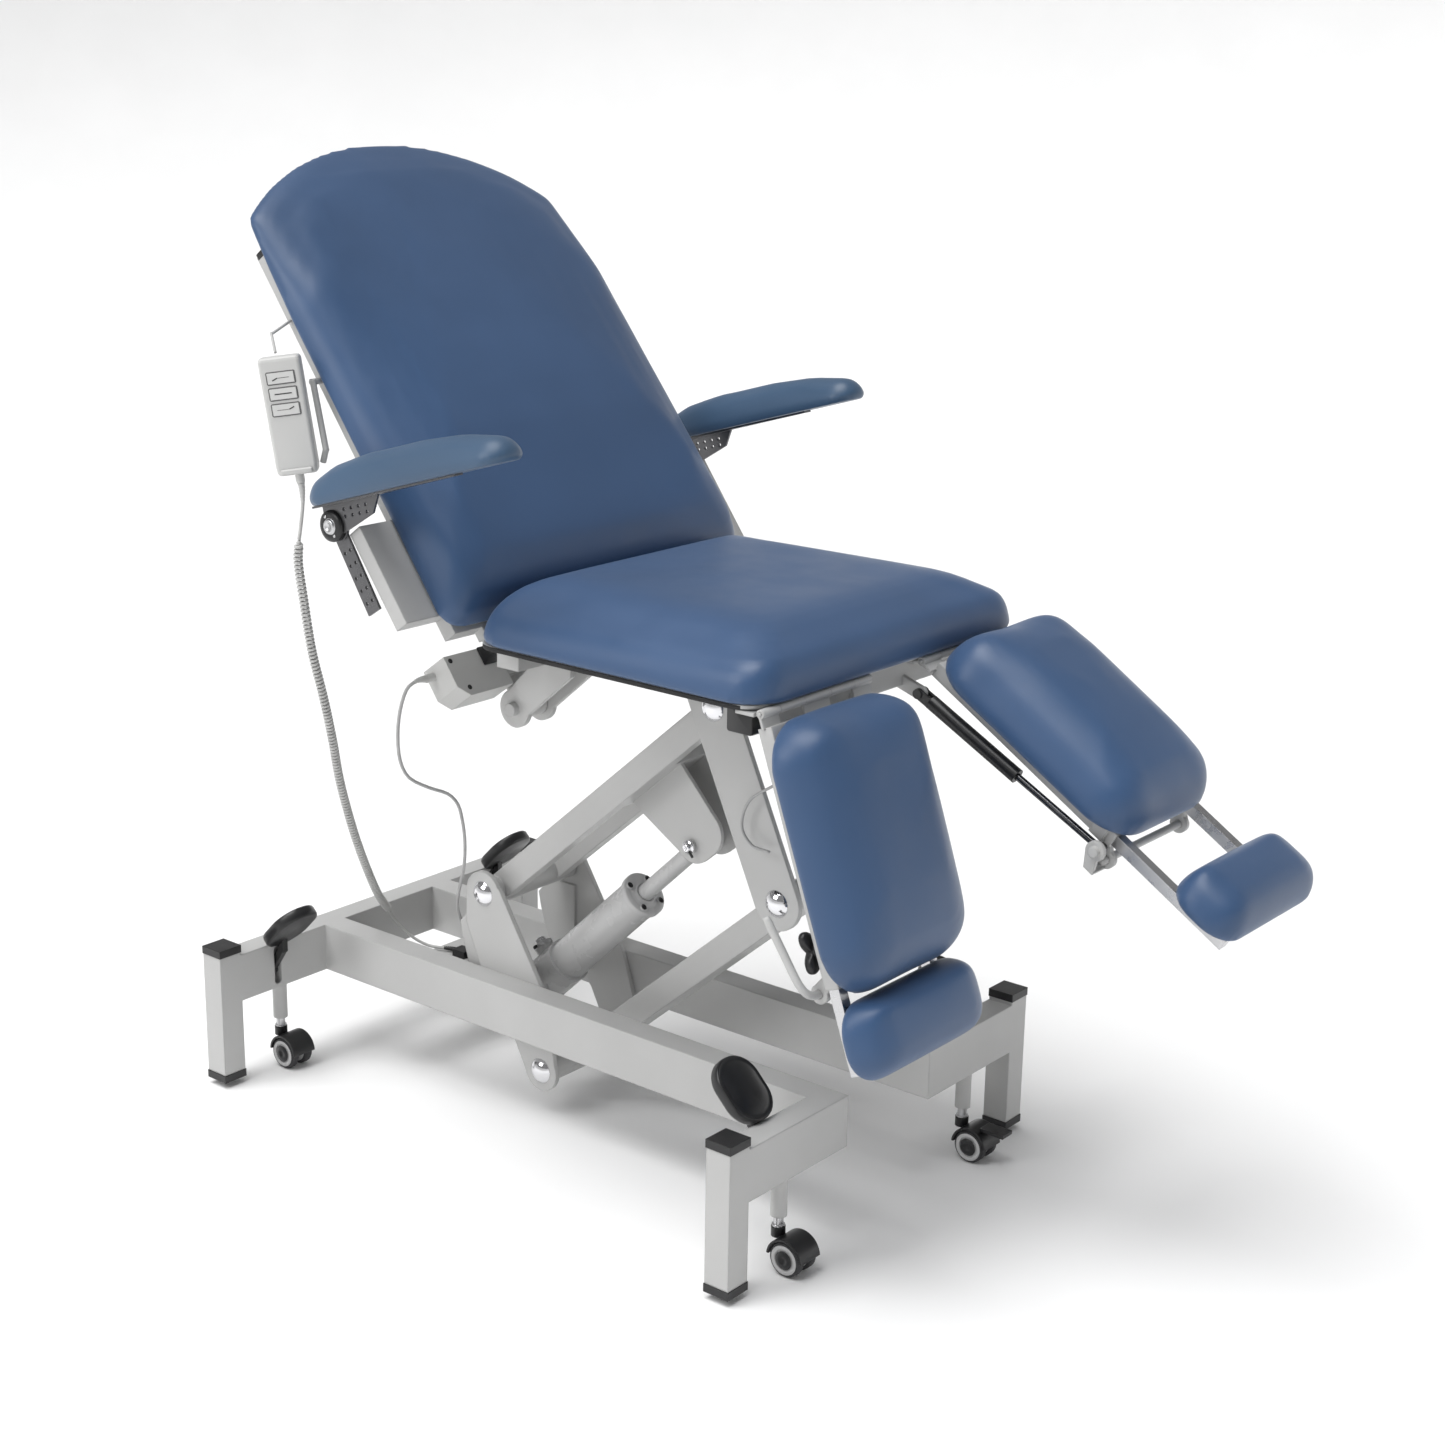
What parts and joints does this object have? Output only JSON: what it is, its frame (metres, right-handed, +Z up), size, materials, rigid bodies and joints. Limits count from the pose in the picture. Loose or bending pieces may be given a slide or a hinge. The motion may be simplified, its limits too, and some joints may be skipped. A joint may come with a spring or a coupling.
{
  "type": "medical treatment couch",
  "caption": "Electric treatment couch with adjustable backrest, sectional leg rests with sliding foot pads, swing-up armrests, parallelogram lift and retractable castors.",
  "frame": {"origin": "centre of the bounding box at floor level", "axes": "+X to the foot end, +Y to the side away from the hand control, +Z up"},
  "size_m": [1.5218, 0.81, 1.4359],
  "materials": {
    "frame_paint": "light grey powder coat, satin",
    "actuator_paint": "light grey enamel, satin",
    "black_plastic": "black moulded plastic, semi-gloss",
    "chrome_parts": "polished chrome",
    "wheel_tread": "grey wheel tread",
    "dark_steel": "dark zinc-plated steel",
    "vinyl": "smooth slate-blue vinyl, faint grain",
    "arm_vinyl": "smooth slate-blue moulded skin",
    "cord_jacket": "light grey cable jacket",
    "handset_plastic": "light grey moulded plastic",
    "key_plastic": "light grey keys"
  },
  "bodies": {
    "base": {"base_frame": "frame_paint", "base_brackets": "frame_paint", "base_plugs": "black_plastic", "pivot_caps": "chrome_parts", "handset_lead": "cord_jacket", "handset_coil": "cord_jacket", "handset_tail": "cord_jacket", "motor_cable": "cord_jacket"},
    "castor_stem_hl": {"castor_stem_hl": "chrome_parts"},
    "castor_head_hl": {"castor_hood_hl": "black_plastic"},
    "castor_roll_hl": {"castor_wheels_hl": "wheel_tread"},
    "pedal_hl": {"pedal_hl": "black_plastic"},
    "castor_stem_hr": {"castor_stem_hr": "chrome_parts"},
    "castor_head_hr": {"castor_hood_hr": "black_plastic"},
    "castor_roll_hr": {"castor_wheels_hr": "wheel_tread"},
    "pedal_hr": {"pedal_hr": "black_plastic"},
    "castor_stem_fl": {"castor_stem_fl": "chrome_parts"},
    "castor_head_fl": {"castor_hood_fl": "black_plastic"},
    "castor_roll_fl": {"castor_wheels_fl": "wheel_tread"},
    "pedal_fl": {"pedal_fl": "black_plastic"},
    "castor_stem_fr": {"castor_stem_fr": "chrome_parts"},
    "castor_head_fr": {"castor_hood_fr": "black_plastic"},
    "castor_roll_fr": {"castor_wheels_fr": "wheel_tread"},
    "pedal_fr": {"pedal_fr": "black_plastic"},
    "upper_arm": {"upper_arm": "frame_paint"},
    "lower_arm": {"lower_arm": "frame_paint"},
    "lift_actuator": {"lift_actuator": "actuator_paint"},
    "lift_rod": {"lift_rod": "actuator_paint"},
    "seat": {"seat_frame": "frame_paint", "seat_pad": "vinyl", "link_caps": "chrome_parts"},
    "backrest": {"backrest_frame": "frame_paint", "backrest_pad": "vinyl", "armrest_brackets": "dark_steel", "handset": "handset_plastic"},
    "back_actuator": {"back_actuator": "actuator_paint"},
    "back_rod": {"back_rod": "chrome_parts"},
    "leg_l": {"leg_frame_l": "frame_paint", "leg_pad_l": "vinyl"},
    "spring_l": {"gas_cylinder_l": "black_plastic"},
    "spring_rod_l": {"gas_rod_l": "chrome_parts"},
    "handle_l": {"release_handle_l": "frame_paint"},
    "foot_l": {"foot_rails_l": "chrome_parts", "foot_pad_l": "vinyl"},
    "knob_l": {"clamp_knob_l": "black_plastic"},
    "leg_r": {"leg_frame_r": "frame_paint", "leg_pad_r": "vinyl"},
    "spring_r": {"gas_cylinder_r": "black_plastic"},
    "spring_rod_r": {"gas_rod_r": "chrome_parts"},
    "handle_r": {"release_handle_r": "frame_paint"},
    "foot_r": {"foot_rails_r": "chrome_parts", "foot_pad_r": "vinyl"},
    "knob_r": {"clamp_knob_r": "black_plastic"},
    "arm_l": {"armrest_arm_l": "dark_steel", "armrest_pad_l": "arm_vinyl"},
    "arm_r": {"armrest_arm_r": "dark_steel", "armrest_pad_r": "arm_vinyl"},
    "key_1": {"key_1": "key_plastic"},
    "key_2": {"key_2": "key_plastic"},
    "key_3": {"key_3": "key_plastic"}
  },
  "joints": [
    {"name": "pedal_hl_press", "type": "hinge", "parent": "base", "child": "pedal_hl", "pos_m": [-0.735, -0.24, 0.165], "axis": [0, 1, 0], "range_deg": [0, 30]},
    {"name": "castor_hl_lift", "type": "slide", "parent": "base", "child": "castor_stem_hl", "axis": [0, 0, 1], "range_m": [0, 0.012]},
    {"name": "castor_hl_swivel", "type": "hinge", "parent": "castor_stem_hl", "child": "castor_head_hl", "pos_m": [-0.74, -0.222, 0.05], "axis": [0, 0, 1], "continuous": true},
    {"name": "castor_hl_roll", "type": "hinge", "parent": "castor_head_hl", "child": "castor_roll_hl", "pos_m": [-0.714, -0.222, 0.025], "axis": [0, 1, 0], "continuous": true},
    {"name": "pedal_hr_press", "type": "hinge", "parent": "base", "child": "pedal_hr", "pos_m": [-0.735, 0.24, 0.165], "axis": [0, 1, 0], "range_deg": [0, 30]},
    {"name": "castor_hr_lift", "type": "slide", "parent": "base", "child": "castor_stem_hr", "axis": [0, 0, 1], "range_m": [0, 0.012]},
    {"name": "castor_hr_swivel", "type": "hinge", "parent": "castor_stem_hr", "child": "castor_head_hr", "pos_m": [-0.74, 0.222, 0.05], "axis": [0, 0, 1], "continuous": true},
    {"name": "castor_hr_roll", "type": "hinge", "parent": "castor_head_hr", "child": "castor_roll_hr", "pos_m": [-0.714, 0.222, 0.025], "axis": [0, 1, 0], "continuous": true},
    {"name": "pedal_fl_press", "type": "hinge", "parent": "base", "child": "pedal_fl", "pos_m": [0.265, -0.24, 0.165], "axis": [0, -1, 0], "range_deg": [0, 30]},
    {"name": "castor_fl_lift", "type": "slide", "parent": "base", "child": "castor_stem_fl", "axis": [0, 0, 1], "range_m": [0, 0.012]},
    {"name": "castor_fl_swivel", "type": "hinge", "parent": "castor_stem_fl", "child": "castor_head_fl", "pos_m": [0.27, -0.222, 0.05], "axis": [0, 0, 1], "continuous": true},
    {"name": "castor_fl_roll", "type": "hinge", "parent": "castor_head_fl", "child": "castor_roll_fl", "pos_m": [0.296, -0.222, 0.025], "axis": [0, 1, 0], "continuous": true},
    {"name": "pedal_fr_press", "type": "hinge", "parent": "base", "child": "pedal_fr", "pos_m": [0.265, 0.24, 0.165], "axis": [0, -1, 0], "range_deg": [0, 30]},
    {"name": "castor_fr_lift", "type": "slide", "parent": "base", "child": "castor_stem_fr", "axis": [0, 0, 1], "range_m": [0, 0.012]},
    {"name": "castor_fr_swivel", "type": "hinge", "parent": "castor_stem_fr", "child": "castor_head_fr", "pos_m": [0.27, 0.222, 0.05], "axis": [0, 0, 1], "continuous": true},
    {"name": "castor_fr_roll", "type": "hinge", "parent": "castor_head_fr", "child": "castor_roll_fr", "pos_m": [0.296, 0.222, 0.025], "axis": [0, 1, 0], "continuous": true},
    {"name": "lift", "type": "hinge", "parent": "base", "child": "upper_arm", "pos_m": [-0.4053, 0, 0.3323], "axis": [0, -1, 0], "range_deg": [-34.3, 4], "deforming": ["handset_lead", "handset_coil", "handset_tail", "motor_cable"]},
    {"name": "lower_arm_swing", "type": "hinge", "parent": "base", "child": "lower_arm", "pos_m": [-0.2863, 0, 0.0746], "axis": [0, -1, 0], "range_deg": [-34.3, 4]},
    {"name": "seat_level", "type": "hinge", "parent": "upper_arm", "child": "seat", "pos_m": [0.02871, 0, 0.70825], "axis": [0, -1, 0], "range_deg": [-4, 34.3]},
    {"name": "lift_actuator_swing", "type": "hinge", "parent": "base", "child": "lift_actuator", "pos_m": [-0.36, 0, 0.178], "axis": [0, -1, 0], "range_deg": [-31.05, 4.06]},
    {"name": "lift_rod_extend", "type": "slide", "parent": "lift_actuator", "child": "lift_rod", "axis": [0.7225, 0, 0.6914], "range_m": [-0.09268, 0.01169]},
    {"name": "backrest_tilt", "type": "hinge", "parent": "seat", "child": "backrest", "pos_m": [-0.25302, 0, 0.78796], "axis": [0, 1, 0], "range_deg": [-53.5, 16.5], "deforming": ["handset_lead", "handset_coil", "handset_tail", "motor_cable"]},
    {"name": "back_actuator_swing", "type": "hinge", "parent": "seat", "child": "back_actuator", "pos_m": [-0.285, -0.12, 0.66], "axis": [0, 1, 0], "range_deg": [-47.93, 15.13]},
    {"name": "back_rod_extend", "type": "slide", "parent": "back_actuator", "child": "back_rod", "axis": [-0.5924, 0, 0.8057], "range_m": [-0.11192, 0.03521]},
    {"name": "leg_l_tilt", "type": "hinge", "parent": "seat", "child": "leg_l", "pos_m": [0.273, -0.1775, 0.79], "axis": [0, 1, 0], "range_deg": [-70, 10]},
    {"name": "spring_l_swing", "type": "hinge", "parent": "seat", "child": "spring_l", "pos_m": [0.274, -0.061, 0.746], "axis": [0, 1, 0], "range_deg": [-76.68, 11.38]},
    {"name": "spring_l_stroke", "type": "slide", "parent": "spring_l", "child": "spring_rod_l", "axis": [0.3393, 0, -0.9407], "range_m": [-0.00637, 0.0386]},
    {"name": "handle_l_pull", "type": "hinge", "parent": "leg_l", "child": "handle_l", "pos_m": [0.36768, -0.187, 0.43923], "axis": [0, -1, 0], "range_deg": [0, 15], "stiffness_Nm_per_rad": 2.5, "springref_deg": -14.32},
    {"name": "foot_l_extend", "type": "slide", "parent": "leg_l", "child": "foot_l", "axis": [0.342, 0, -0.9397], "range_m": [0, 0.12]},
    {"name": "knob_l_turn", "type": "hinge", "parent": "leg_l", "child": "knob_l", "pos_m": [0.35886, -0.276, 0.49561], "axis": [0.9397, 0, 0.342], "continuous": true},
    {"name": "leg_r_tilt", "type": "hinge", "parent": "seat", "child": "leg_r", "pos_m": [0.273, 0.1775, 0.79], "axis": [0, 1, 0], "range_deg": [-32, 48]},
    {"name": "spring_r_swing", "type": "hinge", "parent": "seat", "child": "spring_r", "pos_m": [0.274, 0.061, 0.746], "axis": [0, 1, 0], "range_deg": [-35.3, 52.7]},
    {"name": "spring_r_stroke", "type": "slide", "parent": "spring_r", "child": "spring_rod_r", "axis": [0.8813, 0, -0.4725], "range_m": [-0.02706, 0.01837]},
    {"name": "handle_r_pull", "type": "hinge", "parent": "leg_r", "child": "handle_r", "pos_m": [0.56357, 0.187, 0.57188], "axis": [0, -1, 0], "range_deg": [0, 15], "stiffness_Nm_per_rad": 2.5, "springref_deg": -14.32},
    {"name": "foot_r_extend", "type": "slide", "parent": "leg_r", "child": "foot_r", "axis": [0.848, 0, -0.5299], "range_m": [-0.08, 0.04]},
    {"name": "knob_r_turn", "type": "hinge", "parent": "leg_r", "child": "knob_r", "pos_m": [0.5219, 0.276, 0.61088], "axis": [0.5299, 0, 0.848], "continuous": true},
    {"name": "armrest_l_swing", "type": "hinge", "parent": "backrest", "child": "arm_l", "pos_m": [-0.40535, -0.37, 0.94388], "axis": [0, -1, 0], "range_deg": [0, 65]},
    {"name": "armrest_r_swing", "type": "hinge", "parent": "backrest", "child": "arm_r", "pos_m": [-0.40535, 0.37, 0.94388], "axis": [0, -1, 0], "range_deg": [0, 110]},
    {"name": "key_1_press", "type": "slide", "parent": "backrest", "child": "key_1", "axis": [-0.628, 0.7782, 0], "range_m": [0, 0.0015], "stiffness_N_per_m": 900, "springref_m": -0.0006},
    {"name": "key_2_press", "type": "slide", "parent": "backrest", "child": "key_2", "axis": [-0.628, 0.7782, 0], "range_m": [0, 0.0015], "stiffness_N_per_m": 900, "springref_m": -0.0006},
    {"name": "key_3_press", "type": "slide", "parent": "backrest", "child": "key_3", "axis": [-0.628, 0.7782, 0], "range_m": [0, 0.0015], "stiffness_N_per_m": 900, "springref_m": -0.0006}
  ],
  "couplings": [
    {"joint": "pedal_hl_press", "follows": "castor_hl_lift", "rad_per_m": 43.633},
    {"joint": "pedal_hr_press", "follows": "castor_hr_lift", "rad_per_m": 43.633},
    {"joint": "pedal_fl_press", "follows": "castor_fl_lift", "rad_per_m": 43.633},
    {"joint": "pedal_fr_press", "follows": "castor_fr_lift", "rad_per_m": 43.633},
    {"joint": "lower_arm_swing", "follows": "lift", "ratio": 1},
    {"joint": "seat_level", "follows": "lift", "ratio": -1},
    {"joint": "lift_actuator_swing", "follows": "lift", "ratio": 0.89075},
    {"joint": "lift_rod_extend", "follows": "lift", "m_per_rad": 0.15314},
    {"joint": "back_actuator_swing", "follows": "backrest_tilt", "ratio": 0.88658},
    {"joint": "back_rod_extend", "follows": "backrest_tilt", "m_per_rad": 0.11879},
    {"joint": "spring_l_swing", "follows": "leg_l_tilt", "ratio": 1.0883},
    {"joint": "spring_l_stroke", "follows": "leg_l_tilt", "m_per_rad": -0.030779},
    {"joint": "spring_r_swing", "follows": "leg_r_tilt", "ratio": 1.0874},
    {"joint": "spring_r_stroke", "follows": "leg_r_tilt", "m_per_rad": -0.031105}
  ]
}
